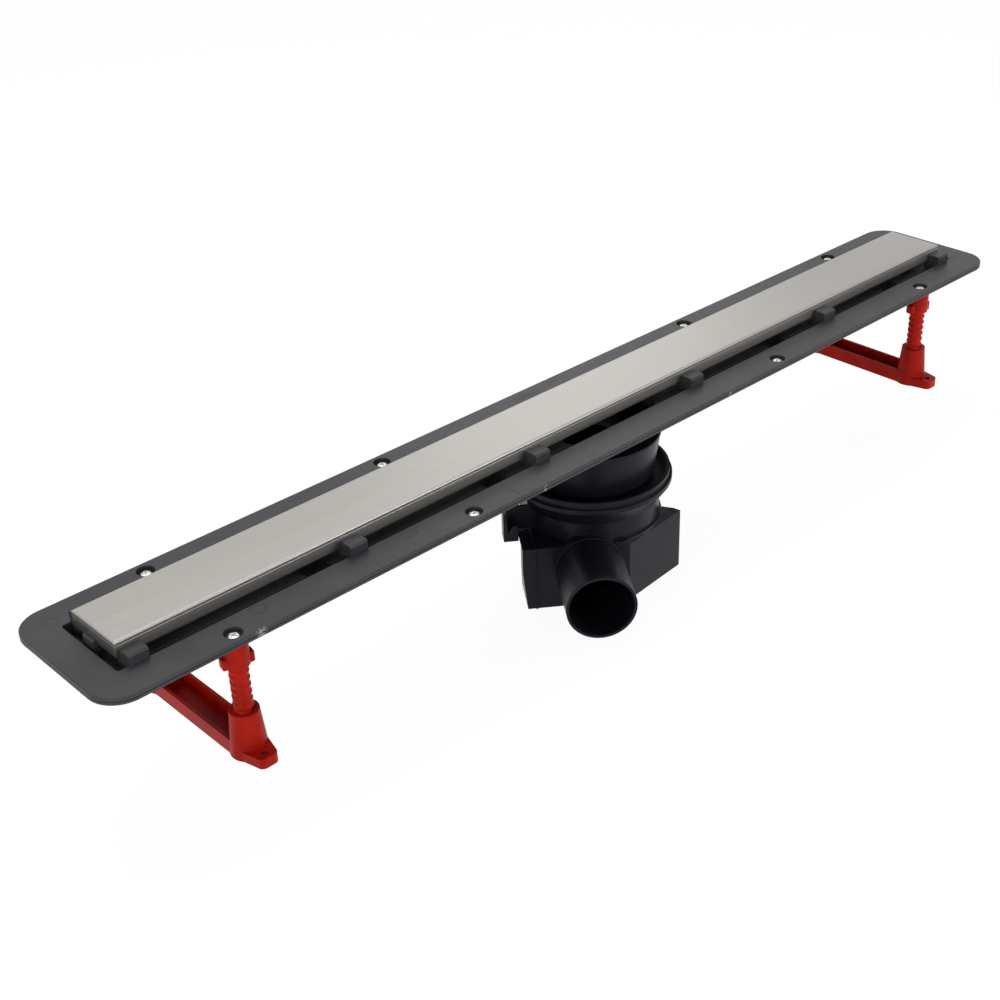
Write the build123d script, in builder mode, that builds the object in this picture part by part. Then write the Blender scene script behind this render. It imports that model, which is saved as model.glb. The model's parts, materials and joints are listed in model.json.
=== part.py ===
from build123d import *
from math import cos, radians, sin
import os

# Linear shower drain, millimetres. X runs along the channel, Y to the back, Z up.
# The origin is the middle of the four floor fixings, on the floor the feet stand on.

os.makedirs("parts", exist_ok=True)

# Levels and flange
flange_top = 85.0            # top of the flange above the floor, as the spindles are set
cover_length = 800.0
cover_end_gap = 6.0          # cover to the end of its opening
flange_border = 22.0         # opening to the end of the flange
opening_length = cover_length + 2 * cover_end_gap
flange_length = opening_length + 2 * flange_border
flange_width = 111.0
flange_corner = 20.0
frame_thickness = 2.2
frame_edge = 0.6
gasket_thickness = 0.5
gasket_width = 5.0           # the strip lies between the opening and the screws
body_flange_thickness = 1.8
opening_width = 62.0
opening_corner = 2.0

# Trough
trough_wall = 2.0
trough_depth = 13.0          # flange top to floor beside the sump
trough_end_depth = 9.5       # the same at the two ends, so that the floor falls to the sump
rail_inner = 18.2            # half distance between the rails
rail_width = 6.0
rail_drop = 4.3              # flange top to rail top
rail_end_gap = 8.0
rail_gap_length = 19.0
rail_gap_first = -261.5
rail_gap_pitch = 148.0
rail_gap_count = 5
gusset_pitch = 71.0
gusset_count = 11
gusset_thickness = 1.6

# Sump and socket
sump_radius = 49.0
socket_radius = 51.0
socket_wall = 2.2
shoulder_thickness = 2.0
socket_taper_end = 48.0      # all depths below are measured from the flange top
spigot_radius = 44.6
spigot_start = 50.0
spigot_end = 66.0
ledge_depth = 26.0
ledge_width = 4.0
snap_bead = 1.0
snap_bead_depth = 61.0

# Cover plate and its clips
cover_width = 46.4
cover_sheet = 1.0
cover_rise = 12.5            # flange top to cover top
cover_skirt = 10.5
cover_lip = 2.6              # height of the bent rim; the folds go down from it
cover_bend = 1.2
cover_x = -1.2               # the cover lies a little off the middle of its opening
cover_y = 0.8
clip_width = 13.2
clip_rise = 7.2
clip_wall_gap = 0.2
clip_lip = 1.6               # how far a clip rests on the flange
clip_leg_depth = 7.5
clip_bevel = 1.2
clip_margins = (321.5, 164.0, 7.5)     # end of the cover to the middle of a clip
clip_places = [cover_length / 2 - margin for margin in clip_margins]
end_clip_width = 11.0
end_clip_rise = 4.2
end_clip_thickness = 2.4
end_clip_y = 4.0

# Screws
screw_outer_margin = 88.5    # end of the flange to the screws
screw_inner_margin = 274.2
screw_outer_x = flange_length / 2 - screw_outer_margin
screw_inner_x = flange_length / 2 - screw_inner_margin
screw_y = 46.2
screw_radius = 2.0
screw_head_radius = 4.0
screw_head_height = 2.1
screw_seat = 3.3             # flange top to underside of the head
counterbore_radius = 5.9
cup_wall = 0.8
cup_floor = 1.0
cup_gap = 0.3
boss_side = 15.6
boss_depth = 5.7
spindle_screw_length = 14.0
flange_screw_length = 8.5
running_gap = 0.08

# Spindles
thread_radius = 6.25
spindle_end = 70.0
neck_radius = 8.0
collar_top = 14.4
collar_bottom = 22.2
wing_span = 20.4
wing_thickness = 7.0
wing_angle = -12.0
spindle_gap = 0.3

# Feet
boss_top_depth = 54.0
foot_boss_top_radius = 9.2
foot_boss_base_radius = 12.0
bar_width = 21.0
bar_height = 10.5
bar_wall = 2.2
lug_thickness = 7.0
lug_tip_y = 68.0
lug_tip_width = 12.0
lug_tip_round = 4.0
fixing_y = 62.5
fixing_radius = 2.6
thread_gap = 0.1

# Trap, set in its own plan axes: across runs along the front face, out runs to the outlet
trap_turn = -36.3            # degrees, front face to X
cup_radius = 57.6
cup_bead_radius = 59.4
cup_rim_depth = 45.5
cup_base_depth = 54.0
cup_cone_end = 67.0          # the cup's underside runs in to the neck
cup_floor_depth = 50.6
cup_wall_thickness = 2.0
trap_neck_radius = 50.4
trap_roof_depth = 82.0
trap_bevel = 3.0
trap_floor_depth = 132.5
trap_wall = 2.4
trap_front = 52.0
trap_left = -47.0
trap_right = 65.0
trap_corner = 19.7
trap_corner_back = 12.0
trap_round = 52.0            # the housing is round at the back
trap_return = (50.0, -4.9)
trap_left_back = 20.0
trap_bore_radius = 46.4
ledge_bottom_depth = 61.0
cap_thickness = 10.5
cap_back = 18.0
cap_side_end = 42.0          # from here the side of the cap runs in to the back
cap_lip = 1.5
cap_lip_end = 19.0
seam_edge = 0.8
core_front = 21.0
core_back = 12.0
core_top = 90.0
core_bottom = 126.0
weir_out = 27.0
weir_drop = 97.0
ear_out = 34.0               # front of the ear, measured out from the axis
ear_depth = 12.0
ear_reach = 10.6
ear_top = 62.0
ear_notch_top = 72.5
ear_bottom = 85.0
ear_wall = 2.2
outlet_radius = 25.0
outlet_wall = 2.0
outlet_length = 50.0         # free length of the spigot, up to its collar
outlet_collar = 0.6
outlet_across = -9.7
outlet_out = 104.3
outlet_depth = 101.2

# Removable siphon insert
insert_flange_thickness = 2.0
insert_tube_radius = 21.5
insert_wall = 1.8
insert_end_depth = 121.0
insert_rim_gap = 0.5


def level(depth):
    """Height of a plane that lies a given depth below the flange top."""
    return flange_top - depth


def horizontal(depth):
    return Plane.XY.offset(level(depth))


def write(part, name):
    part.label = name
    export_step(part, f"parts/{name}.step")


outer_screws = [(sx * screw_outer_x, sy * screw_y) for sx in (-1, 1) for sy in (-1, 1)]
inner_screws = [(sx * screw_inner_x, sy * screw_y) for sx in (-1, 1) for sy in (-1, 1)]
all_screws = outer_screws + inner_screws
cup_side = 2 * (counterbore_radius + cup_wall)
cup_bottom = screw_seat + cup_floor
body_top = frame_thickness + gasket_thickness
body_bottom = body_top + body_flange_thickness

# Upper frame: the top flange layer with a cup for each screw head
with BuildPart() as upper_frame:
    with BuildSketch(horizontal(frame_thickness)):
        RectangleRounded(flange_length, flange_width, flange_corner)
        RectangleRounded(opening_length, opening_width, opening_corner, mode=Mode.SUBTRACT)
    extrude(amount=frame_thickness)
    outer_edge = upper_frame.faces().sort_by(Axis.Z)[-1].outer_wire().edges()
    chamfer(outer_edge, frame_edge)
    with BuildSketch(horizontal(cup_bottom)):
        with Locations(*all_screws):
            Rectangle(cup_side, cup_side)
    extrude(amount=cup_bottom - frame_thickness)
    with Locations(*[(x, y, flange_top) for x, y in all_screws]):
        CounterBoreHole(screw_radius + running_gap, counterbore_radius, screw_seat, depth=cup_bottom)
write(upper_frame.part, "upper_frame")

# Gasket strip that clamps the waterproofing membrane between the two flange layers
with BuildPart() as sealing_gasket:
    with BuildSketch(horizontal(body_top)):
        RectangleRounded(opening_length + 2 * gasket_width, opening_width + 2 * gasket_width,
                         opening_corner + gasket_width)
        RectangleRounded(opening_length, opening_width, opening_corner, mode=Mode.SUBTRACT)
    extrude(amount=gasket_thickness)
write(sealing_gasket.part, "sealing_gasket")

# Channel: lower flange, sloped trough, rails and socket. The moulding is drawn in its plain pieces
trough_half = opening_width / 2 + trough_wall
trough_end = opening_length / 2 + trough_wall
floor_bottom = trough_depth + trough_wall
end_bottom = trough_end_depth + trough_wall
rail_reach = opening_length / 2 - rail_end_gap
rail_gaps = [rail_gap_first + n * rail_gap_pitch for n in range(rail_gap_count)]
mouth_radius = socket_radius - socket_wall

with BuildPart() as channel_flange:
    with BuildSketch(horizontal(body_bottom)):
        RectangleRounded(flange_length, flange_width, flange_corner)
        Rectangle(2 * trough_end, 2 * trough_half, mode=Mode.SUBTRACT)
    extrude(amount=body_flange_thickness)
    # Gussets between trough wall and flange
    gusset_reach = flange_width / 2 - 4.0
    for n in range(gusset_count):
        x = (n - (gusset_count - 1) / 2) * gusset_pitch
        with BuildSketch(Plane.YZ.offset(x - gusset_thickness / 2)):
            for side in (-1, 1):
                Polygon((side * trough_half, level(body_bottom)), (side * gusset_reach, level(body_bottom)),
                        (side * gusset_reach, level(body_bottom + 1.0)),
                        (side * trough_half, level(trough_end_depth + 1.0)), align=None)
        extrude(amount=gusset_thickness)
    # Bosses for the inner screws, and a hole for each cup of the frame
    with BuildSketch(horizontal(boss_depth)):
        with Locations(*inner_screws):
            Rectangle(boss_side, boss_side)
    extrude(amount=boss_depth - body_top)
    with BuildSketch(horizontal(boss_depth)):
        with Locations(*inner_screws):
            Circle(screw_radius + running_gap)
    extrude(amount=boss_depth, mode=Mode.SUBTRACT)
    with BuildSketch(horizontal(cup_bottom + cup_gap)):
        with Locations(*all_screws):
            Rectangle(cup_side + 2 * cup_gap, cup_side + 2 * cup_gap)
    extrude(amount=cup_bottom, mode=Mode.SUBTRACT)
write(channel_flange.part, "channel_flange")

for side, row in ((-1, "front"), (1, "rear")):
    with BuildPart() as trough_side:
        with BuildSketch(Plane.XZ.offset(-side * (trough_half - trough_wall / 2) - trough_wall / 2)):
            Polygon((-trough_end, level(body_top)), (-trough_end, level(end_bottom)),
                    (-socket_radius, level(floor_bottom)), (socket_radius, level(floor_bottom)),
                    (trough_end, level(end_bottom)), (trough_end, level(body_top)), align=None)
        extrude(amount=trough_wall)
    write(trough_side.part, f"trough_wall_{row}")

for side, end in ((-1, "left"), (1, "right")):
    with BuildPart() as trough_floor:
        with BuildSketch(Plane.XZ.offset(-opening_width / 2)):
            Polygon((side * trough_end, level(trough_end_depth)),
                    (side * opening_length / 2, level(trough_end_depth)),
                    (side * socket_radius, level(trough_depth)), (side * socket_radius, level(floor_bottom)),
                    (side * trough_end, level(end_bottom)), align=None)
        extrude(amount=opening_width)
    write(trough_floor.part, f"trough_floor_{end}")
    with BuildPart() as trough_cap:
        with BuildSketch(horizontal(trough_end_depth)):
            with Locations((side * (trough_end - trough_wall / 2), 0)):
                Rectangle(trough_wall, opening_width)
        extrude(amount=trough_end_depth - body_top)
    write(trough_cap.part, f"trough_end_{end}")


def floor_depth(x):
    """Depth of the sloped trough floor at a distance from the middle."""
    fall = (trough_depth - trough_end_depth) / (opening_length / 2 - socket_radius)
    return trough_end_depth + fall * (opening_length / 2 - x)


# Rails that carry the cover's clips, cut by the drain gaps and by the sump
for side, row in ((-1, "front"), (1, "rear")):
    rail_y = side * (rail_inner + rail_width / 2)
    with BuildPart() as rail:
        with BuildSketch(Plane.XZ.offset(-rail_y - rail_width / 2)):
            Polygon((-rail_reach, level(rail_drop)), (-rail_reach, level(floor_depth(rail_reach))),
                    (-socket_radius, level(trough_depth)), (socket_radius, level(trough_depth)),
                    (rail_reach, level(floor_depth(rail_reach))), (rail_reach, level(rail_drop)), align=None)
        extrude(amount=rail_width)
        with BuildSketch(horizontal(trough_depth)):
            Circle(mouth_radius)
            with Locations(*[(x, rail_y) for x in rail_gaps if abs(x) > sump_radius]):
                Rectangle(rail_gap_length, 2 * rail_width)
        extrude(amount=trough_depth, mode=Mode.SUBTRACT)
    write(rail.part, f"rail_{row}")

# Sump floor with the tapered socket, its ledge and its snap bead, turned about the vertical axis
with BuildPart() as sump_socket:
    with BuildSketch(horizontal(floor_bottom)):
        Rectangle(2 * socket_radius, opening_width)
    extrude(amount=trough_wall)
    with BuildSketch(horizontal(floor_bottom + shoulder_thickness)):
        Circle(socket_radius)
    extrude(amount=shoulder_thickness)
    with BuildSketch(Plane.XZ):
        with BuildLine():
            Polyline((socket_radius, level(floor_bottom)),
                     (spigot_radius + 1.4, level(socket_taper_end)),
                     (spigot_radius, level(spigot_start)),
                     (spigot_radius, level(snap_bead_depth)),
                     (spigot_radius + snap_bead, level(snap_bead_depth + snap_bead)),
                     (spigot_radius, level(snap_bead_depth + 3 * snap_bead)),
                     (spigot_radius, level(spigot_end)),
                     (spigot_radius - socket_wall, level(spigot_end)),
                     (spigot_radius - socket_wall, level(spigot_start)),
                     (spigot_radius + 1.4 - socket_wall, level(socket_taper_end)),
                     (mouth_radius - ledge_width, level(ledge_depth + 4.0)),
                     (mouth_radius - ledge_width, level(ledge_depth)),
                     (mouth_radius - 1.0, level(ledge_depth)),
                     (mouth_radius, level(floor_bottom + shoulder_thickness)),
                     (mouth_radius, level(floor_bottom)),
                     close=True)
        make_face()
    revolve(axis=Axis.Z)
    with BuildSketch(horizontal(floor_bottom + shoulder_thickness)):
        Circle(mouth_radius)
        Rectangle(2 * socket_radius, opening_width, mode=Mode.INTERSECT)
    extrude(amount=floor_bottom + shoulder_thickness, mode=Mode.SUBTRACT)
write(sump_socket.part, "sump_socket")

# Cover: a folded stainless tray, turned over: the bent sheet, then its long and its short folds
with BuildPart() as cover_plate:
    with BuildSketch(horizontal(cover_lip - cover_rise)):
        with Locations((cover_x, cover_y)):
            Rectangle(cover_length, cover_width)
    extrude(amount=cover_lip)
    top_edges = cover_plate.faces().sort_by(Axis.Z)[-1].edges()
    fillet(top_edges, cover_bend)
    offset(amount=-cover_sheet, openings=cover_plate.faces().sort_by(Axis.Z)[0])
write(cover_plate.part, "cover_plate")

fold_plane = horizontal(cover_skirt - cover_rise)
fold_height = cover_skirt - cover_lip
long_fold_y = (cover_width - cover_sheet) / 2
end_fold_x = (cover_length - cover_sheet) / 2
with BuildPart() as cover_folds:
    with BuildSketch(fold_plane):
        with Locations((cover_x, cover_y + long_fold_y), (cover_x, cover_y - long_fold_y)):
            Rectangle(cover_length, cover_sheet)
    extrude(amount=fold_height)
write(cover_folds.part, "cover_folds")

with BuildPart() as cover_end_folds:
    with BuildSketch(fold_plane):
        with Locations((cover_x + end_fold_x, cover_y), (cover_x - end_fold_x, cover_y)):
            Rectangle(cover_sheet, cover_width - 2 * cover_sheet)
    extrude(amount=fold_height)
write(cover_end_folds.part, "cover_end_folds")


def side_clip(x, side):
    """Clip that hooks over the flange edge, stands in the slot and carries the cover's skirt."""
    cover_face = cover_width / 2 + side * cover_y + clip_wall_gap
    slot_face = opening_width / 2 - clip_wall_gap
    rail_face = rail_inner + rail_width + clip_wall_gap
    seat = flange_top + cover_rise - cover_skirt
    with BuildPart() as clip:
        with BuildSketch(Plane.YZ.offset(x - clip_width / 2)):
            with BuildLine():
                Polyline((side * (opening_width / 2 + clip_lip), flange_top),
                         (side * (opening_width / 2 + clip_lip), flange_top + clip_rise - clip_bevel),
                         (side * (opening_width / 2 + clip_lip - clip_bevel), flange_top + clip_rise),
                         (side * cover_face, flange_top + clip_rise),
                         (side * cover_face, seat),
                         (side * (rail_inner + 1.0), seat),
                         (side * (rail_inner + 1.0), level(rail_drop)),
                         (side * rail_face, level(rail_drop)),
                         (side * rail_face, level(clip_leg_depth)),
                         (side * (slot_face - 1.2), level(clip_leg_depth)),
                         (side * slot_face, level(clip_leg_depth - 1.2)),
                         (side * slot_face, flange_top),
                         close=True)
            make_face()
        extrude(amount=clip_width)
    return clip.part


for side, row in ((-1, "front"), (1, "rear")):
    places = sorted([-x for x in clip_places] + clip_places)
    for number, x in enumerate(places, start=1):
        write(side_clip(x, side), f"clip_{row}_{number}")


def end_clip(side):
    """Low clip at one end of the cover, standing on the trough floor."""
    cover_face = cover_length / 2 + side * cover_x + clip_wall_gap
    seat = flange_top + cover_rise - cover_skirt
    rail_end = opening_length / 2 - rail_end_gap
    with BuildPart() as clip:
        with BuildSketch(Plane.XZ.offset(-end_clip_y - end_clip_width / 2)):
            with BuildLine():
                Polyline((side * (cover_face + end_clip_thickness), level(trough_end_depth)),
                         (side * (cover_face + end_clip_thickness), flange_top + end_clip_rise - 0.6),
                         (side * (cover_face + end_clip_thickness - 0.6), flange_top + end_clip_rise),
                         (side * cover_face, flange_top + end_clip_rise),
                         (side * cover_face, seat),
                         (side * (rail_end - 2.0), seat),
                         (side * (rail_end - 2.0), level(rail_drop)),
                         (side * cover_face, level(rail_drop)),
                         (side * cover_face, level(trough_end_depth)),
                         close=True)
            make_face()
        extrude(amount=end_clip_width)
    return clip.part


write(end_clip(-1), "clip_end_left")
write(end_clip(1), "clip_end_right")

# The inner screws clamp the two flange layers, the longer outer ones also carry the spindles
for name, places, length in (("flange_screws", inner_screws, flange_screw_length),
                             ("spindle_screws", outer_screws, spindle_screw_length)):
    with BuildPart() as screws:
        with BuildSketch(horizontal(screw_seat)):
            with Locations(*places):
                Circle(screw_head_radius)
        extrude(amount=screw_head_height)
        with BuildSketch(horizontal(screw_seat)):
            with Locations(*places):
                Circle(screw_radius)
        extrude(amount=-length)
    write(screws.part, name)


def spindle(x, y, turn):
    """Leg spindle with a winged collar, hung from an outer flange screw."""
    top = cup_bottom + spindle_gap
    with BuildPart() as body:
        with BuildSketch(Plane((x, y, 0), x_dir=(1, 0, 0), z_dir=(0, -1, 0))):
            with BuildLine():
                Polyline((screw_radius + running_gap, level(top)), (neck_radius, level(top)),
                         (neck_radius, level(collar_bottom)), (thread_radius, level(collar_bottom)),
                         (thread_radius, level(spindle_end)), (0, level(spindle_end)),
                         (0, level(spindle_screw_length + screw_seat + 1.0)),
                         (screw_radius + running_gap, level(spindle_screw_length + screw_seat + 1.0)),
                         close=True)
            make_face()
        revolve(axis=Axis((x, y, 0), (0, 0, 1)))
        with BuildSketch(Plane((x, y, level(collar_bottom)))):
            Rectangle(wing_span, wing_thickness, rotation=turn)
            Circle(neck_radius - 1.0, mode=Mode.SUBTRACT)
        extrude(amount=collar_bottom - collar_top)
    return body.part


for (x, y) in outer_screws:
    end = "left" if x < 0 else "right"
    row = "front" if y < 0 else "rear"
    write(spindle(x, y, wing_angle), f"spindle_{row}_{end}")


def foot(x):
    """Foot: an open channel bar between two bored bosses, with a drilled lug past each boss."""
    bar_bottom = 0.0
    with BuildPart() as body:
        with BuildSketch(Plane.XY):
            with Locations((x, 0)):
                Rectangle(bar_width, 2 * screw_y)
        extrude(amount=bar_height)
        with BuildSketch(Plane.XY.offset(bar_wall)):
            with Locations((x, 0)):
                Rectangle(bar_width - 2 * bar_wall, 2 * screw_y)
        extrude(amount=bar_height, mode=Mode.SUBTRACT)
        for side in (-1, 1):
            with BuildSketch(Plane.XY):
                with BuildLine():
                    Polyline((x - bar_width / 2, side * (screw_y - 4.0)),
                             (x - bar_width / 2, side * (screw_y + 3.0)),
                             (x - lug_tip_width / 2, side * lug_tip_y),
                             (x + lug_tip_width / 2, side * lug_tip_y),
                             (x + bar_width / 2, side * (screw_y + 3.0)),
                             (x + bar_width / 2, side * (screw_y - 4.0)),
                             close=True)
                make_face()
                tip = [v for v in vertices() if abs(abs(v.Y) - lug_tip_y) < 0.01]
                fillet(tip, lug_tip_round)
            extrude(amount=lug_thickness)
            with BuildSketch(Plane((x, side * screw_y, 0), x_dir=(1, 0, 0), z_dir=(0, -1, 0))):
                with BuildLine():
                    Polyline((0, 0), (foot_boss_base_radius, 0),
                             (foot_boss_top_radius, level(boss_top_depth)),
                             (0, level(boss_top_depth)), close=True)
                make_face()
            revolve(axis=Axis((x, side * screw_y, 0), (0, 0, 1)))
            with Locations((x, side * screw_y, level(boss_top_depth))):
                Hole(thread_radius + thread_gap, depth=level(boss_top_depth) - bar_wall)
            with Locations((x, side * fixing_y, lug_thickness)):
                Hole(fixing_radius, depth=lug_thickness)
    return body.part


write(foot(-screw_outer_x), "foot_left")
write(foot(screw_outer_x), "foot_right")

# Trap, drawn in its own plan axes; y runs away from the outlet
turned = (cos(radians(trap_turn)), sin(radians(trap_turn)), 0)
outlet_way = (sin(radians(trap_turn)), -cos(radians(trap_turn)), 0)
trap_plane = Plane((0, 0, 0), x_dir=turned, z_dir=(0, 0, 1))
outlet_plane = Plane((0, 0, 0), x_dir=turned, z_dir=outlet_way)
trap_outline = [(trap_left, -trap_front), (trap_corner, -trap_front), (trap_right, -trap_corner_back),
                trap_return, (trap_left, trap_left_back)]


def trap_level(depth):
    return trap_plane.offset(level(depth))


def round_back(inset):
    """Round part of the housing, flat on the side of the end cap."""
    Circle(trap_round - inset)
    with Locations((trap_left + inset - trap_round, 0)):
        Rectangle(2 * trap_round, 4 * trap_round, mode=Mode.SUBTRACT)


def outline(inset):
    """Plan of the housing, drawn in from its outside by a given inset."""
    Polygon(*trap_outline, align=None)
    if inset > 0:
        offset(amount=-inset, kind=Kind.INTERSECTION, mode=Mode.REPLACE)
    round_back(inset)


with BuildPart() as trap_body:
    with BuildSketch(trap_level(trap_floor_depth)):
        Polygon(*trap_outline, align=None)
    extrude(amount=trap_floor_depth - trap_roof_depth)
    roof_edges = trap_body.faces().sort_by(Axis.Z)[-1].edges()
    turned_edges = [e for e in roof_edges if trap_plane.to_local_coords(e.center()).X > trap_corner + 5.0
                    and trap_plane.to_local_coords(e.center()).Y < -6.0]
    chamfer(turned_edges, trap_bevel)
    with BuildSketch(trap_level(trap_floor_depth)):
        round_back(0)
    extrude(amount=trap_floor_depth - trap_roof_depth)
    with BuildSketch(trap_level(trap_roof_depth)):
        Circle(trap_neck_radius)
    extrude(amount=trap_roof_depth - cup_base_depth)
    with BuildSketch(outlet_plane.offset(weir_out)):
        with Locations((outlet_across, level(outlet_depth))):
            Circle(outlet_radius + outlet_collar)
    extrude(amount=trap_front - weir_out)
    # Chamber, neck bore and outlet bore
    with BuildSketch(trap_level(trap_floor_depth - trap_wall)):
        outline(trap_wall)
    extrude(amount=trap_floor_depth - trap_roof_depth - 2 * trap_wall, mode=Mode.SUBTRACT)
    with BuildSketch(trap_level(trap_roof_depth + trap_wall)):
        Circle(trap_bore_radius)
    extrude(amount=trap_roof_depth + trap_wall - cup_base_depth, mode=Mode.SUBTRACT)
    with BuildSketch(outlet_plane.offset(weir_out)):
        with Locations((outlet_across, level(outlet_depth))):
            Circle(outlet_radius - outlet_wall)
    extrude(amount=trap_front - weir_out, mode=Mode.SUBTRACT)
    # Weir that holds the water back in front of the outlet
    with BuildSketch(trap_level(trap_floor_depth - trap_wall / 2)):
        outline(trap_wall / 2)
        with Locations((0, -weir_out)):
            Rectangle(3 * trap_right, trap_wall, mode=Mode.INTERSECT)
    extrude(amount=trap_floor_depth - trap_wall / 2 - weir_drop)
    # Core opening that the end cap closes
    with BuildSketch(trap_level(core_bottom)):
        with Locations((trap_left, (core_back - core_front) / 2)):
            Rectangle(4 * trap_wall, core_front + core_back)
    extrude(amount=core_bottom - core_top, mode=Mode.SUBTRACT)
    # Cup that takes the channel's spigot, with the ledge that hangs on its bead
    with BuildSketch(Plane.XZ):
        with BuildLine():
            Polyline((spigot_radius + running_gap, level(ledge_bottom_depth)),
                     (trap_bore_radius + 1.0, level(ledge_bottom_depth)),
                     (trap_bore_radius + 1.0, level(cup_cone_end)),
                     (trap_neck_radius, level(cup_cone_end)),
                     (cup_bead_radius, level(cup_base_depth)),
                     (cup_bead_radius, level(cup_floor_depth)),
                     (cup_radius, level(cup_floor_depth)),
                     (cup_radius, level(cup_rim_depth)),
                     (cup_radius - cup_wall_thickness, level(cup_rim_depth)),
                     (cup_radius - cup_wall_thickness, level(cup_floor_depth)),
                     (spigot_radius + running_gap, level(cup_floor_depth)),
                     close=True)
        make_face()
    revolve(axis=Axis.Z)
    # Ear beside the end cap: a web to the neck, an outer wall, a floor and a notched front
    ear_inner = trap_left - cap_thickness - 0.4
    ear_outer = ear_inner - ear_reach
    web_bottom = trap_roof_depth - seam_edge - 0.3
    web_reach = trap_bore_radius - 6.0
    with BuildSketch(trap_level(ear_bottom)):
        with Locations(((ear_inner + ear_outer) / 2, -ear_out + ear_depth / 2)):
            Rectangle(ear_reach, ear_depth)
    extrude(amount=ear_wall)
    with BuildSketch(trap_level(ear_bottom)):
        with Locations((ear_outer + ear_wall / 2, -ear_out + ear_depth / 2)):
            Rectangle(ear_wall, ear_depth)
    extrude(amount=ear_bottom - ear_top)
    with BuildSketch(outlet_plane.offset(ear_out - ear_depth)):
        with BuildLine():
            Polyline((ear_outer, level(ear_bottom)), (ear_inner, level(ear_bottom)),
                     (ear_inner, level(web_bottom)), (-web_reach, level(web_bottom)),
                     (-web_reach, level(ear_top)), (ear_outer, level(ear_top)), close=True)
        make_face()
    extrude(amount=ear_wall)
    with BuildSketch(outlet_plane.offset(ear_out - ear_wall)):
        with BuildLine():
            Polyline((ear_outer, level(ear_bottom)), (ear_inner, level(ear_bottom)),
                     (ear_inner, level(ear_notch_top)), (ear_inner - 4.0, level(ear_notch_top)),
                     (ear_outer + ear_wall + 1.2, level(ear_notch_top + 5.5)),
                     (ear_outer + ear_wall, level(ear_top)), (ear_outer, level(ear_top)), close=True)
        make_face()
    extrude(amount=ear_wall)
write(trap_body.part, "trap_body")

# Outlet spigot with a low collar where it meets the housing
with BuildPart() as outlet_tube:
    with BuildSketch(outlet_plane.offset(trap_front)):
        with Locations((outlet_across, level(outlet_depth))):
            Circle(outlet_radius + outlet_collar)
    extrude(amount=outlet_out - outlet_length - trap_front)
    with BuildSketch(outlet_plane.offset(trap_front)):
        with Locations((outlet_across, level(outlet_depth))):
            Circle(outlet_radius)
    extrude(amount=outlet_out - trap_front)
    with BuildSketch(outlet_plane.offset(trap_front)):
        with Locations((outlet_across, level(outlet_depth))):
            Circle(outlet_radius - outlet_wall)
    extrude(amount=outlet_out - trap_front, mode=Mode.SUBTRACT)
write(outlet_tube.part, "outlet_tube")

# End cap welded on the side of the trap: its side runs in to the back, under a straight lip
cap_outer = trap_left - cap_thickness
cap_slope = (cap_thickness - 3.0) / (cap_side_end + cap_back)
with BuildPart() as trap_end_cap:
    with BuildSketch(trap_level(trap_floor_depth)):
        Polygon((trap_left, -trap_front), (cap_outer, -trap_front), (cap_outer, -cap_side_end),
                (trap_left - 3.0, cap_back), (trap_left, cap_back), align=None)
    extrude(amount=trap_floor_depth - trap_roof_depth)
    with BuildSketch(trap_level(trap_roof_depth + cap_lip)):
        Polygon((trap_left, -trap_front), (cap_outer, -trap_front), (cap_outer, -cap_lip_end),
                (trap_left, -cap_lip_end), align=None)
    extrude(amount=cap_lip)
    # The foot of the outer side is drawn in
    with BuildSketch(outlet_plane.offset(-2 * trap_front)):
        Polygon((cap_outer - 1.0, level(trap_floor_depth)), (cap_outer + 3.0, level(trap_floor_depth)),
                (cap_outer, level(trap_floor_depth - 30.0)),
                (cap_outer - 1.0, level(trap_floor_depth - 30.0)),
                align=None)
    extrude(amount=4 * trap_front, mode=Mode.SUBTRACT)
    # Hollow over the core opening
    with BuildSketch(trap_level(core_bottom)):
        Polygon((trap_left, -core_front),
                (cap_outer + cap_slope * (cap_side_end - core_front) + trap_wall, -core_front),
                (cap_outer + cap_slope * (cap_side_end + core_back) + trap_wall, core_back),
                (trap_left, core_back), align=None)
    extrude(amount=core_bottom - core_top, mode=Mode.SUBTRACT)
    # Raised seam edge
    with BuildSketch(trap_level(trap_floor_depth)):
        Polygon((trap_left, -trap_front - seam_edge), (trap_left - 2 * seam_edge, -trap_front - seam_edge),
                (trap_left - 2 * seam_edge, cap_back), (trap_left, cap_back), align=None)
        with Locations((trap_left, (core_back - core_front) / 2)):
            Rectangle(6 * seam_edge, core_front + core_back, mode=Mode.SUBTRACT)
    extrude(amount=trap_floor_depth - trap_roof_depth + seam_edge)
    with BuildSketch(trap_level(trap_roof_depth)):
        Circle(trap_neck_radius + 0.2)
    extrude(amount=2 * seam_edge, mode=Mode.SUBTRACT)
write(trap_end_cap.part, "trap_end_cap")

# Siphon insert that lifts out of the sump: a flange with a dip tube
insert_radius = socket_radius - socket_wall - 1.0 - insert_rim_gap
insert_top = ledge_depth - insert_flange_thickness
with BuildPart() as siphon_insert:
    with BuildSketch(Plane.XZ):
        with BuildLine():
            Polyline((insert_radius, level(ledge_depth)), (insert_radius, level(insert_top)),
                     (insert_tube_radius - insert_wall, level(insert_top)),
                     (insert_tube_radius - insert_wall, level(insert_end_depth)),
                     (insert_tube_radius, level(insert_end_depth)),
                     (insert_tube_radius, level(ledge_depth)),
                     close=True)
        make_face()
    revolve(axis=Axis.Z)
write(siphon_insert.part, "siphon_insert")
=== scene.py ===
import json
from math import pi, radians

import bmesh
import bpy
from mathutils import Matrix, Vector


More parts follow.
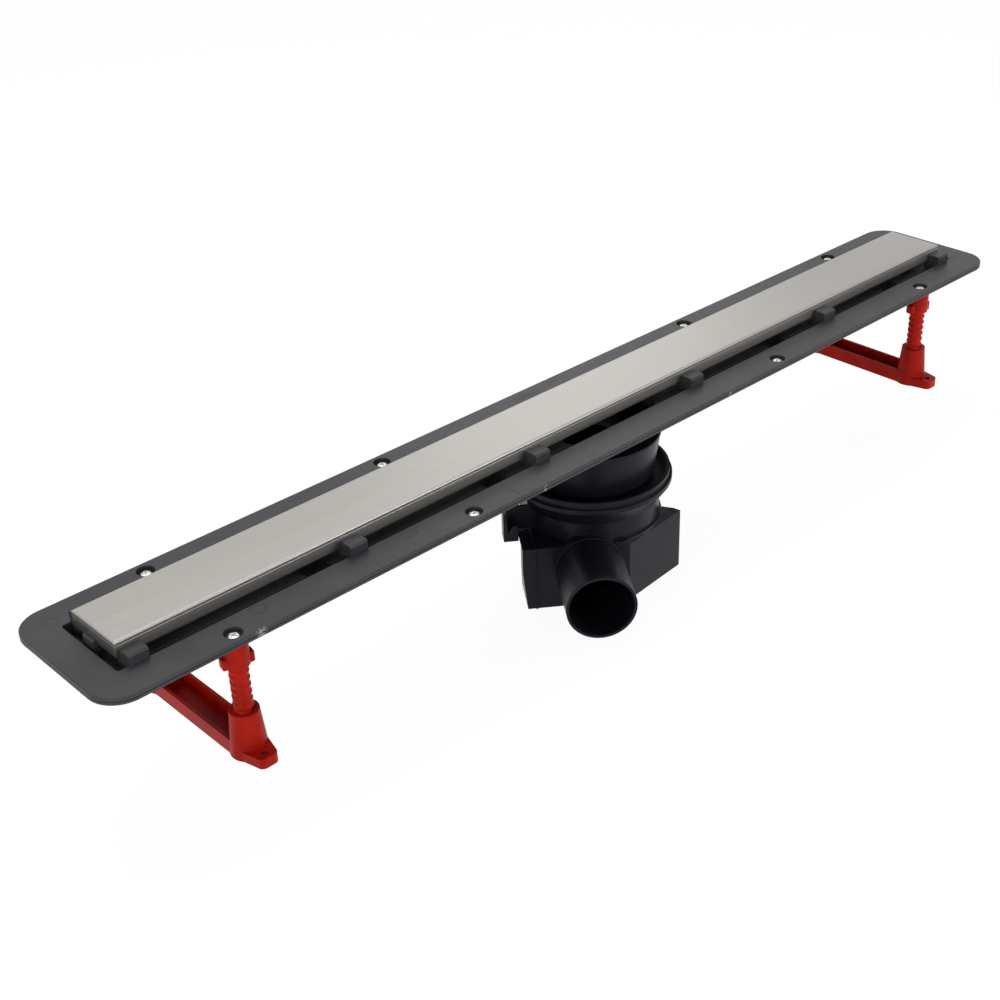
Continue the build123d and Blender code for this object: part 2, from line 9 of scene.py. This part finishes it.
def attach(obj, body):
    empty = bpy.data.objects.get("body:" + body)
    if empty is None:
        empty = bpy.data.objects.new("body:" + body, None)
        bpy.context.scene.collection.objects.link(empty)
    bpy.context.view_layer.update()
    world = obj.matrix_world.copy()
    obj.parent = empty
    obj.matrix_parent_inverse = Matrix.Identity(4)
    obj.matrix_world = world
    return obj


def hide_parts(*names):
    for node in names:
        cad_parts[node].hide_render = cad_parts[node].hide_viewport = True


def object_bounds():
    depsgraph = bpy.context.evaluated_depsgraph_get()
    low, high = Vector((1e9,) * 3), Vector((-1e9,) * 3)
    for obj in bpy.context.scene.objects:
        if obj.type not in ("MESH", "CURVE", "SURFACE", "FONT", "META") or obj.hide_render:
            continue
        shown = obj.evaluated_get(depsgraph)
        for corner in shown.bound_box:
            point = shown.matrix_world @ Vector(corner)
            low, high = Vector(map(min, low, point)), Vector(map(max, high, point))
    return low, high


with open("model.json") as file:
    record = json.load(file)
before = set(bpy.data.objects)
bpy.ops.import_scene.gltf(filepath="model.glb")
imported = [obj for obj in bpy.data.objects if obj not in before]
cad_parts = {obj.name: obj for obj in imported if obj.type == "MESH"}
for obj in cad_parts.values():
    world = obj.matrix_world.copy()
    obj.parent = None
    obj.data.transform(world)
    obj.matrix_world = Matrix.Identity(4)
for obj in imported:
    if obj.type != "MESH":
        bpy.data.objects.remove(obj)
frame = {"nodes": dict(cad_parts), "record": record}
cadLow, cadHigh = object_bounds()
nodes = frame["nodes"]
flangeTop = 0.085


class Term:
    # A socket that takes part in sums as a number would.
    def __init__(self, graph, socket):
        self.graph = graph
        self.socket = socket

    def __add__(self, other):
        return self.graph.maths("ADD", self, other)

    def __radd__(self, other):
        return self.graph.maths("ADD", other, self)

    def __sub__(self, other):
        return self.graph.maths("SUBTRACT", self, other)

    def __rsub__(self, other):
        return self.graph.maths("SUBTRACT", other, self)

    def __mul__(self, other):
        return self.graph.maths("MULTIPLY", self, other)

    def __rmul__(self, other):
        return self.graph.maths("MULTIPLY", other, self)

    def __truediv__(self, other):
        return self.graph.maths("DIVIDE", self, other)

    def __rtruediv__(self, other):
        return self.graph.maths("DIVIDE", other, self)

    def __pow__(self, other):
        return self.graph.maths("POWER", self, other)

    def clamp(self):
        return self.graph.maths("ADD", self, 0.0, use_clamp=True)

    def size(self):
        return self.graph.maths("ABSOLUTE", self, 0.0)

    def over(self, low, high):
        return self.graph.node("ShaderNodeMapRange", {"Value": self, "From Min": low, "From Max": high},
                               interpolation_type="SMOOTHSTEP")


class Graph:
    def __init__(self, name):
        self.material = bpy.data.materials.new(name)
        self.material.use_nodes = True
        self.tree = self.material.node_tree
        self.shader = self.tree.nodes["Principled BSDF"]
        self.place = self.node("ShaderNodeTexCoord", {}, "Object")

    def feed(self, socket, value):
        if isinstance(value, Term):
            self.tree.links.new(value.socket, socket)
        else:
            socket.default_value = value

    def node(self, kind, inputs, output=0, **settings):
        made = self.tree.nodes.new(kind)
        for name, value in settings.items():
            setattr(made, name, value)
        for name, value in inputs.items():
            self.feed(made.inputs[name], value)
        return Term(self, made.outputs[output])

    def maths(self, operation, first, second, **settings):
        return self.node("ShaderNodeMath", {0: first, 1: second}, operation=operation, **settings)

    def stretched(self, scale):
        return self.node("ShaderNodeVectorMath", {0: self.place, 1: scale}, operation="MULTIPLY")

    def noise(self, scale, detail=2.0, stretch=(1, 1, 1), roughness=0.5):
        return self.node("ShaderNodeTexNoise", {"Vector": self.stretched(stretch), "Scale": scale,
                                                "Detail": detail, "Roughness": roughness})

    def axes(self):
        split = self.tree.nodes.new("ShaderNodeSeparateXYZ")
        self.tree.links.new(self.place.socket, split.inputs[0])
        return [Term(self, split.outputs[i]) for i in range(3)]

    def mix(self, share, low, high):
        made = self.tree.nodes.new("ShaderNodeMix")
        made.data_type = "RGBA"
        self.feed(made.inputs[0], share)
        self.feed(made.inputs[6], low)
        self.feed(made.inputs[7], high)
        return Term(self, made.outputs[2])

    def rounded(self, radius):
        return self.node("ShaderNodeBevel", {"Radius": radius}, samples=4)

    def bump(self, height, strength, distance, normal=None):
        inputs = {"Height": height, "Strength": strength, "Distance": distance}
        if normal is not None:
            inputs["Normal"] = normal
        return self.node("ShaderNodeBump", inputs)

    def finish(self, **sockets):
        for name, value in sockets.items():
            self.feed(self.shader.inputs[name.replace("_", " ")], value)
        return self.material


def rgb(red, green, blue):
    return (red, green, blue, 1.0)


def ring(graph, x, y, radius, width):
    # A thin circle on the flange, as a height from 0 to 1.
    across, along = graph.axes()[:2]
    away = ((across - x) ** 2.0 + (along - y) ** 2.0) ** 0.5
    return 1.0 - ((away - radius).size()).over(width * 0.4, width)


flangePlastic = {
    "colour": (0.034, 0.034, 0.038), "pale": (0.052, 0.051, 0.056), "roughness": 0.44, "specular": 0.34,
    "edge": 0.0005,
}
flangeMarks = {
    "rings": [(-0.3155, -0.0369), (-0.2002, -0.0371), (-0.4085, 0.0380), (0.4083, -0.0363)],
    "ringRadius": 0.0047, "ringWidth": 0.0006,
    "jointPlace": -0.119, "jointWidth": (0.00015, 0.0005), "jointFront": (-0.034, -0.032),
    "sunk": -0.0005, "dirt": (0.012, 0.012, 0.014),
    "chips": [(-0.3264, 0.0050), (-0.0989, 0.0022), (0.0885, 0.0020)],
    "rim": (-0.0545, -0.0535), "chipScale": 420.0, "chipColour": (0.32, 0.32, 0.32),
}
trapPlastic = {
    "colour": (0.0070, 0.0066, 0.0115), "pale": (0.0120, 0.0112, 0.0180), "roughness": 0.34, "specular": 0.15,
    "edge": 0.0010,
}
plasticGrain = {"cloudScale": 18.0, "scuffScale": 70.0, "scale": 1500.0, "depth": 0.0003}
redPlastic = {
    "colour": (0.50, 0.013, 0.005), "dark": (0.36, 0.008, 0.003), "roughness": 0.40, "specular": 0.10,
    "edge": 0.0007, "cloudScale": 45.0, "grainScale": 900.0, "grainDepth": 0.0003,
    "glow": 0.08, "glowReach": (0.004, 0.0006, 0.0003),
}
steel = {
    "colour": (0.365, 0.352, 0.330), "shade": 0.86, "shine": 1.10, "roughness": 0.36, "edge": 0.0012,
    "hairScale": 900.0, "hairStretch": (0.012, 1.0, 1.0), "hairDepth": 0.0003,
    "fineScale": 2600.0, "fineStretch": (0.006, 1.0, 1.0),
    "cloudScale": 9.0, "cloudStretch": (0.5, 2.0, 1.0),
}
zinc = {"shade": (0.55, 0.54, 0.50), "bright": (0.78, 0.77, 0.74), "cloudScale": 300.0, "roughness": 0.22}
rubber = {
    "dark": (0.012, 0.012, 0.012), "pale": (0.022, 0.022, 0.022), "grainScale": 1200.0, "grainDepth": 0.0003,
    "roughness": 0.62,
}


def mouldMarks(graph, base, normal):
    # Sunk ejector rings, the mould's joint line on the front strip, and three chips on the front rim.
    marks = flangeMarks
    across, along = graph.axes()[:2]
    joint = 1.0 - ((across - marks["jointPlace"]).size()).over(*marks["jointWidth"])
    height = joint * (1.0 - along.over(*marks["jointFront"]))
    for x, y in marks["rings"]:
        height = height + ring(graph, x, y, marks["ringRadius"], marks["ringWidth"])
    base = graph.mix((0.35 * height).clamp(), base, rgb(*marks["dirt"]))
    chips = 0.0
    for x, reach in marks["chips"]:
        chips = chips + (1.0 - ((across - x).size()).over(0.0, reach))
    ragged = graph.noise(marks["chipScale"], 3.0).over(0.46, 0.56)
    onRim = 1.0 - along.over(*marks["rim"])
    base = graph.mix((chips * onRim * ragged).clamp(), base, rgb(*marks["chipColour"]))
    return base, graph.bump(height, 0.7, marks["sunk"], normal)


def mouldedPlastic(name, settings, marked=False):
    graph = Graph(name)
    cloud = graph.noise(plasticGrain["cloudScale"], 4.0)
    grain = graph.noise(plasticGrain["scale"], 3.0)
    scuff = graph.noise(plasticGrain["scuffScale"], 5.0, (0.25, 1.0, 1.0), 0.65).over(0.58, 0.72)
    base = graph.mix(cloud.over(0.35, 0.7), rgb(*settings["colour"]), rgb(*settings["pale"]))
    roughness = settings["roughness"] + 0.10 * cloud + 0.12 * scuff - 0.05
    graph.shader.inputs["Specular IOR Level"].default_value = settings["specular"]
    normal = graph.bump(grain, 0.12, plasticGrain["depth"], graph.rounded(settings["edge"]))
    if marked:
        base, normal = mouldMarks(graph, base, normal)
    return graph.finish(Base_Color=base, Roughness=roughness, Normal=normal)


def redMoulding(name, settings):
    graph = Graph(name)
    cloud = graph.noise(settings["cloudScale"], 4.0)
    grain = graph.noise(settings["grainScale"], 3.0)
    base = graph.mix(cloud.over(0.35, 0.7), rgb(*settings["dark"]), rgb(*settings["colour"]))
    roughness = settings["roughness"] + 0.14 * cloud - 0.05
    graph.shader.inputs["Specular IOR Level"].default_value = settings["specular"]
    graph.shader.inputs["Subsurface Weight"].default_value = settings["glow"]
    graph.shader.inputs["Subsurface Radius"].default_value = settings["glowReach"]
    normal = graph.bump(grain, 0.10, settings["grainDepth"], graph.rounded(settings["edge"]))
    return graph.finish(Base_Color=base, Roughness=roughness, Normal=normal)


def brushedSteel(name, settings):
    # Long hairs along the channel, rounded at the folds.
    graph = Graph(name)
    hair = graph.noise(settings["hairScale"], 4.0, settings["hairStretch"], 0.6)
    fine = graph.noise(settings["fineScale"], 2.0, settings["fineStretch"])
    cloud = graph.noise(settings["cloudScale"], 3.0, settings["cloudStretch"])
    tone = 0.84 + 0.15 * hair + 0.10 * cloud + 0.06 * fine
    base = graph.mix(tone.over(0.85, 1.08), rgb(*[part * settings["shade"] for part in settings["colour"]]),
                     rgb(*[part * settings["shine"] for part in settings["colour"]]))
    roughness = settings["roughness"] + 0.10 * hair + 0.06 * cloud - 0.06
    graph.shader.inputs["Metallic"].default_value = 1.0
    normal = graph.bump(hair * 0.6 + fine * 0.4, 0.24, settings["hairDepth"], graph.rounded(settings["edge"]))
    return graph.finish(Base_Color=base, Roughness=roughness, Normal=normal)


def zincSteel(name, settings):
    graph = Graph(name)
    cloud = graph.noise(settings["cloudScale"], 3.0)
    graph.shader.inputs["Metallic"].default_value = 1.0
    base = graph.mix(cloud, rgb(*settings["shade"]), rgb(*settings["bright"]))
    return graph.finish(Base_Color=base, Roughness=settings["roughness"] + 0.16 * cloud)


def sealRubber(name, settings):
    graph = Graph(name)
    grain = graph.noise(settings["grainScale"], 2.0)
    base = graph.mix(grain, rgb(*settings["dark"]), rgb(*settings["pale"]))
    return graph.finish(Base_Color=base, Roughness=settings["roughness"] + 0.1 * grain,
                        Normal=graph.bump(grain, 0.2, settings["grainDepth"]))


trapMaterial = mouldedPlastic("trapMoulding", trapPlastic)
redMaterial = redMoulding("redMoulding", redPlastic)
zincMaterial = zincSteel("zincScrew", zinc)
materialOf = {
    "flange_plastic": mouldedPlastic("flangeMoulding", flangePlastic, marked=True),
    "trap_plastic": trapMaterial,
    "red_plastic": redMaterial,
    "brushed_stainless": brushedSteel("brushedCover", steel),
    "screw_steel": zincMaterial,
    "seal_rubber": sealRubber("sealRubber", rubber),
}
# Painted shade: the sump's socket is moulded with the flange, but it takes the darker trap moulding because
# it sits in shade under the flange.
paintedShadeOfNode = {"sump_socket": trapMaterial}
# Each slot takes its record's finish, except the socket, which gets the painted shade above.
for part in frame["record"]["subparts"]:
    for place in nodes[part["node"]].material_slots:
        place.material = paintedShadeOfNode.get(part["node"], materialOf[part["material_slot"]])
print("materials on", len(nodes), "nodes")


def piece(name, shell, material, crease=40.0):
    bmesh.ops.recalc_face_normals(shell, faces=shell.faces)
    mesh = bpy.data.meshes.new(name)
    shell.to_mesh(mesh)
    shell.free()
    mesh.materials.append(material)
    made = bpy.data.objects.new(name, mesh)
    bpy.context.collection.objects.link(made)
    for face in mesh.polygons:
        face.use_smooth = True
    mesh.set_sharp_from_angle(angle=radians(crease))
    return made


def turned(shell, profile, place, steps=48):
    # A profile of radius and height, turned about the vertical through a place.
    corners = [shell.verts.new((place[0] + r, place[1], z)) for r, z in profile]
    sides = [shell.edges.new(pair) for pair in zip(corners, corners[1:])]
    bmesh.ops.spin(shell, geom=corners + sides, cent=(place[0], place[1], 0), axis=(0, 0, 1),
                   angle=2 * pi, steps=steps, use_duplicate=False)
    bmesh.ops.remove_doubles(shell, verts=shell.verts, dist=2e-6)


def thread(shell, settings, place, steps=36):
    # One pitch of the thread's profile, turned and lowered by a pitch a turn.
    pitch, crest, root = settings["pitch"], settings["crest"], settings["root"]
    shoulder = crest - settings["crestEdge"]
    start, turns = settings["threadTop"], settings["turns"]
    shape = [(root, 0.0), (root, 0.10), (shoulder, 0.30), (crest, 0.38), (crest, 0.62), (shoulder, 0.70),
             (root, 0.90), (root, 1.0)]
    corners = [shell.verts.new((place[0] + r, place[1], start - share * pitch)) for r, share in shape]
    sides = [shell.edges.new(pair) for pair in zip(corners, corners[1:])]
    bmesh.ops.spin(shell, geom=corners + sides, cent=(place[0], place[1], 0), axis=(0, 0, 1),
                   dvec=(0, 0, -pitch / steps), angle=2 * pi * turns, steps=steps * turns,
                   use_duplicate=False)
    bmesh.ops.remove_doubles(shell, verts=shell.verts, dist=2e-6)


def block(shell, size, place, angle, bevel):
    # A box turned about its own middle, with rounded edges.
    spot = Matrix.Translation(place) @ Matrix.Rotation(angle, 4, "Z") @ Matrix.Diagonal((*size, 1))
    made = bmesh.ops.create_cube(shell, size=1.0, matrix=spot)["verts"]
    edges = {edge for corner in made for edge in corner.link_edges}
    bmesh.ops.bevel(shell, geom=list(edges), offset=bevel, segments=3, profile=0.5, affect="EDGES")


fixings = {"across": 0.0462, "outer": 0.3395, "inner": 0.1538}
spindle = {
    "pitch": 0.0050, "crest": 0.0062, "root": 0.0053, "crestEdge": 0.0002, "threadTop": 0.0655, "turns": 9,
    "foot": 0.0151, "core": 0.0051, "tip": 0.0047, "tipEdge": 0.0005,
    "neck": 0.0078, "neckEdge": 0.0003, "top": 0.0803,
    "collarTop": 0.0706, "collarFoot": 0.0628, "collarEdge": (0.0008, 0.0002, 0.0010),
    "collarRoot": (0.0048, 0.0006), "bore": 0.0021, "boreEnd": 0.0668,
    "wing": (0.0202, 0.0066, 0.0076), "wingAngle": radians(-12.0), "wingBevel": 0.0010,
}


def collarProfile():
    # From the thread's root out to the collar's foot, up the neck and down into the screw's bore.
    neck, foot, top = spindle["neck"], spindle["collarFoot"], spindle["top"]
    inset, low, high = spindle["collarEdge"]
    root, rise = spindle["collarRoot"]
    return [(root, foot + rise), (neck - inset, foot + low), (neck, foot + high),
            (neck, top - spindle["neckEdge"]), (neck - spindle["neckEdge"], top),
            (spindle["bore"], top), (spindle["bore"], spindle["boreEnd"]), (0, spindle["boreEnd"])]


def coreProfile():
    # The shaft's tip below the thread and its core inside it.
    threadEnd = spindle["threadTop"] - spindle["turns"] * spindle["pitch"]
    return [(0, spindle["foot"]), (spindle["tip"], spindle["foot"]),
            (spindle["core"], spindle["foot"] + spindle["tipEdge"]), (spindle["core"], threadEnd)]


def spindlePiece(name, x, y):
    shell = bmesh.new()
    turned(shell, collarProfile(), (x, y))
    middle = (spindle["collarTop"] + spindle["collarFoot"]) / 2
    block(shell, spindle["wing"], (x, y, middle), spindle["wingAngle"], spindle["wingBevel"])
    thread(shell, spindle, (x, y))
    turned(shell, coreProfile(), (x, y))
    return piece(name, shell, redMaterial)


for side, x in (("left", -fixings["outer"]), ("right", fixings["outer"])):
    for row, y in (("front", -fixings["across"]), ("rear", fixings["across"])):
        node = f"spindle_{row}_{side}"
        threaded = spindlePiece(node + "_threaded", x, y)
        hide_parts(node)
        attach(threaded, node + "_body")
print("threaded spindles")

screw = {
    "seat": 0.0817, "head": 0.0040, "crown": 0.0838, "shank": 0.0019, "point": 0.0012, "tip": 0.0004,
    "crownShape": [(0.45, 0.0001), (0.72, 0.0004), (0.91, 0.0009), (1.0, 0.0015)],
    "recess": (0.0046, 0.0009, 0.0026), "recessEnd": 0.0826,
}
screwSets = {
    "spindle_screws": {"reach": fixings["outer"], "end": 0.0678, "turns": [0.35, 1.1, 0.7, 0.2]},
    "flange_screws": {"reach": fixings["inner"], "end": 0.0733, "turns": [0.9, 1.3, 0.5, 0.05]},
}


def screwPiece(node, settings):
    # Four pan head screws with a cross recess, each turned its own way.
    head, crown, seat, shank = screw["head"], screw["crown"], screw["seat"], screw["shank"]
    end, reach = settings["end"], settings["reach"]
    dome = [(head * share, crown - drop) for share, drop in screw["crownShape"]]
    shaft = [(head, seat), (shank, seat), (shank, end + screw["point"]), (screw["tip"], end)]
    heads = bmesh.new()
    cutter = bmesh.new()
    rows = (-fixings["across"], fixings["across"])
    places = [(x, y) for x in (-reach, reach) for y in rows]
    for (x, y), way in zip(places, settings["turns"]):
        turned(heads, [(0, crown), *dome, *shaft, (0, end)], (x, y))
        for quarter in (0, pi / 2):
            spot = Matrix.Translation((x, y, screw["recessEnd"] + screw["recess"][2] / 2))
            slot = Matrix.Rotation(way + quarter, 4, "Z") @ Matrix.Diagonal((*screw["recess"], 1))
            bmesh.ops.create_cube(cutter, size=1.0, matrix=spot @ slot)
    made = piece(node + "_cross_head", heads, zincMaterial, 30.0)
    tool = piece("recessCutter", cutter, zincMaterial)
    cut = made.modifiers.new("recess", "BOOLEAN")
    cut.object = tool
    cut.operation = "DIFFERENCE"
    cut.solver = "EXACT"
    cut.use_self = True
    cutMesh = bpy.data.meshes.new_from_object(made.evaluated_get(bpy.context.evaluated_depsgraph_get()))
    made.modifiers.clear()
    made.data = cutMesh
    bpy.data.objects.remove(tool, do_unlink=True)
    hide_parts(node)
    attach(made, "channel")


for node, settings in screwSets.items():
    screwPiece(node, settings)
print("cross head screws")


# Camera at the photograph's viewpoint.
cameraAt = {
    "place": (-0.7195, -0.6989, 0.5183 + flangeTop),
    "right": (0.7294, -0.6833, -0.0325),
    "up": (0.3687, 0.3526, 0.8601),
    "back": (-0.5762, -0.6393, 0.5091),
    "lens": 56.90,
    "sensor": 36.0,
    "near": 0.01,
}
lensData = bpy.data.cameras.new("camera")
lensData.lens = cameraAt["lens"]
lensData.sensor_width = cameraAt["sensor"]
lensData.clip_start = cameraAt["near"]
camera = bpy.data.objects.new("camera", lensData)
bpy.context.collection.objects.link(camera)
turn = Matrix([cameraAt["right"], cameraAt["up"], cameraAt["back"]]).transposed()
camera.matrix_world = Matrix.Translation(cameraAt["place"]) @ turn.to_4x4()
bpy.context.scene.camera = camera
bpy.context.scene.view_settings.view_transform = "Standard"


def lamp(name, size, place, aim, watts):
    data = bpy.data.lights.new(name, "AREA")
    data.shape = "RECTANGLE"
    data.size, data.size_y = size
    data.energy = watts
    made = bpy.data.objects.new(name, data)
    bpy.context.collection.objects.link(made)
    way = Vector(aim) - Vector(place)
    made.matrix_world = Matrix.Translation(place) @ way.to_track_quat("-Z", "Y").to_matrix().to_4x4()


lamps = {
    "overhead": {"size": (1.4, 1.0), "place": (-0.1, 0.35, 1.4), "aim": (0.0, 0, 0.05), "watts": 7.0},
    "leftSide": {"size": (0.5, 0.5), "place": (-1.3, -0.55, 0.35), "aim": (-0.1, 0, 0.05), "watts": 3.4},
    "lowFront": {"size": (0.5, 0.3), "place": (0.55, -1.20, 0.22), "aim": (0.0, 0, 0.06), "watts": 4.5},
    "rearGlow": {"size": (0.5, 0.35), "place": (0.82, 0.86, 0.70), "aim": (0.0, 0, 0.10), "watts": 0.7},
}
for name, settings in lamps.items():
    lamp(name, **settings)

studio = {
    "ambient": 0.36, "white": 1.0, "floorReach": 6.0, "floorDrop": 0.001, "floorShare": 0.88,
    "floorGlow": 1.07, "floorColours": ((0.88, 0.88, 0.88), (0.9, 0.9, 0.9)),
}
raysSeen = ("Is Camera Ray", "Is Glossy Ray", "Is Transmission Ray")


def whiteWorld():
    # White where it is seen or mirrored, and dimmer as light.
    world = bpy.data.worlds.new("studio")
    bpy.context.scene.world = world
    world.use_nodes = True
    tree = world.node_tree
    rays = tree.nodes.new("ShaderNodeLightPath")
    seen = rays.outputs[raysSeen[0]]
    for kind in raysSeen[1:]:
        either = tree.nodes.new("ShaderNodeMath")
        either.operation = "MAXIMUM"
        tree.links.new(seen, either.inputs[0])
        tree.links.new(rays.outputs[kind], either.inputs[1])
        seen = either.outputs[0]
    strength = tree.nodes.new("ShaderNodeMapRange")
    strength.inputs["To Min"].default_value = studio["ambient"]
    strength.inputs["To Max"].default_value = studio["white"]
    tree.links.new(seen, strength.inputs["Value"])
    background = tree.nodes["Background"]
    background.inputs["Color"].default_value = rgb(1, 1, 1)
    tree.links.new(strength.outputs[0], background.inputs["Strength"])


def floorMaterial():
    # The floor glows towards the camera, and what is left of its own shading keeps the shadow.
    graph = Graph("studioFloor")
    cloud = graph.noise(3.0, 2.0)
    base = graph.mix(cloud, *[rgb(*colour) for colour in studio["floorColours"]])
    material = graph.finish(Base_Color=base, Roughness=0.7)
    rays = graph.tree.nodes.new("ShaderNodeLightPath")
    camera, glossy, through = [Term(graph, rays.outputs[kind]) for kind in raysSeen]
    glow = graph.node("ShaderNodeEmission", {"Color": rgb(1, 1, 1), "Strength": studio["floorGlow"]})
    shaded = Term(graph, graph.shader.outputs[0])
    share = studio["floorShare"] * (camera + glossy + through).clamp()
    blended = graph.node("ShaderNodeMixShader", {0: share, 1: shaded, 2: glow})
    graph.feed(graph.tree.nodes["Material Output"].inputs["Surface"], blended)
    return material


def floorPiece():
    level = Matrix.Translation((0, 0, cadLow[2] - studio["floorDrop"]))
    sheet = bmesh.new()
    bmesh.ops.create_grid(sheet, x_segments=1, y_segments=1, size=studio["floorReach"], matrix=level)
    mesh = bpy.data.meshes.new("studioFloor")
    sheet.to_mesh(mesh)
    sheet.free()
    mesh.materials.append(floorMaterial())
    made = bpy.data.objects.new("studioFloor", mesh)
    bpy.context.collection.objects.link(made)
    return made


whiteWorld()
studioFloor = floorPiece()
print("camera, lamps and floor")
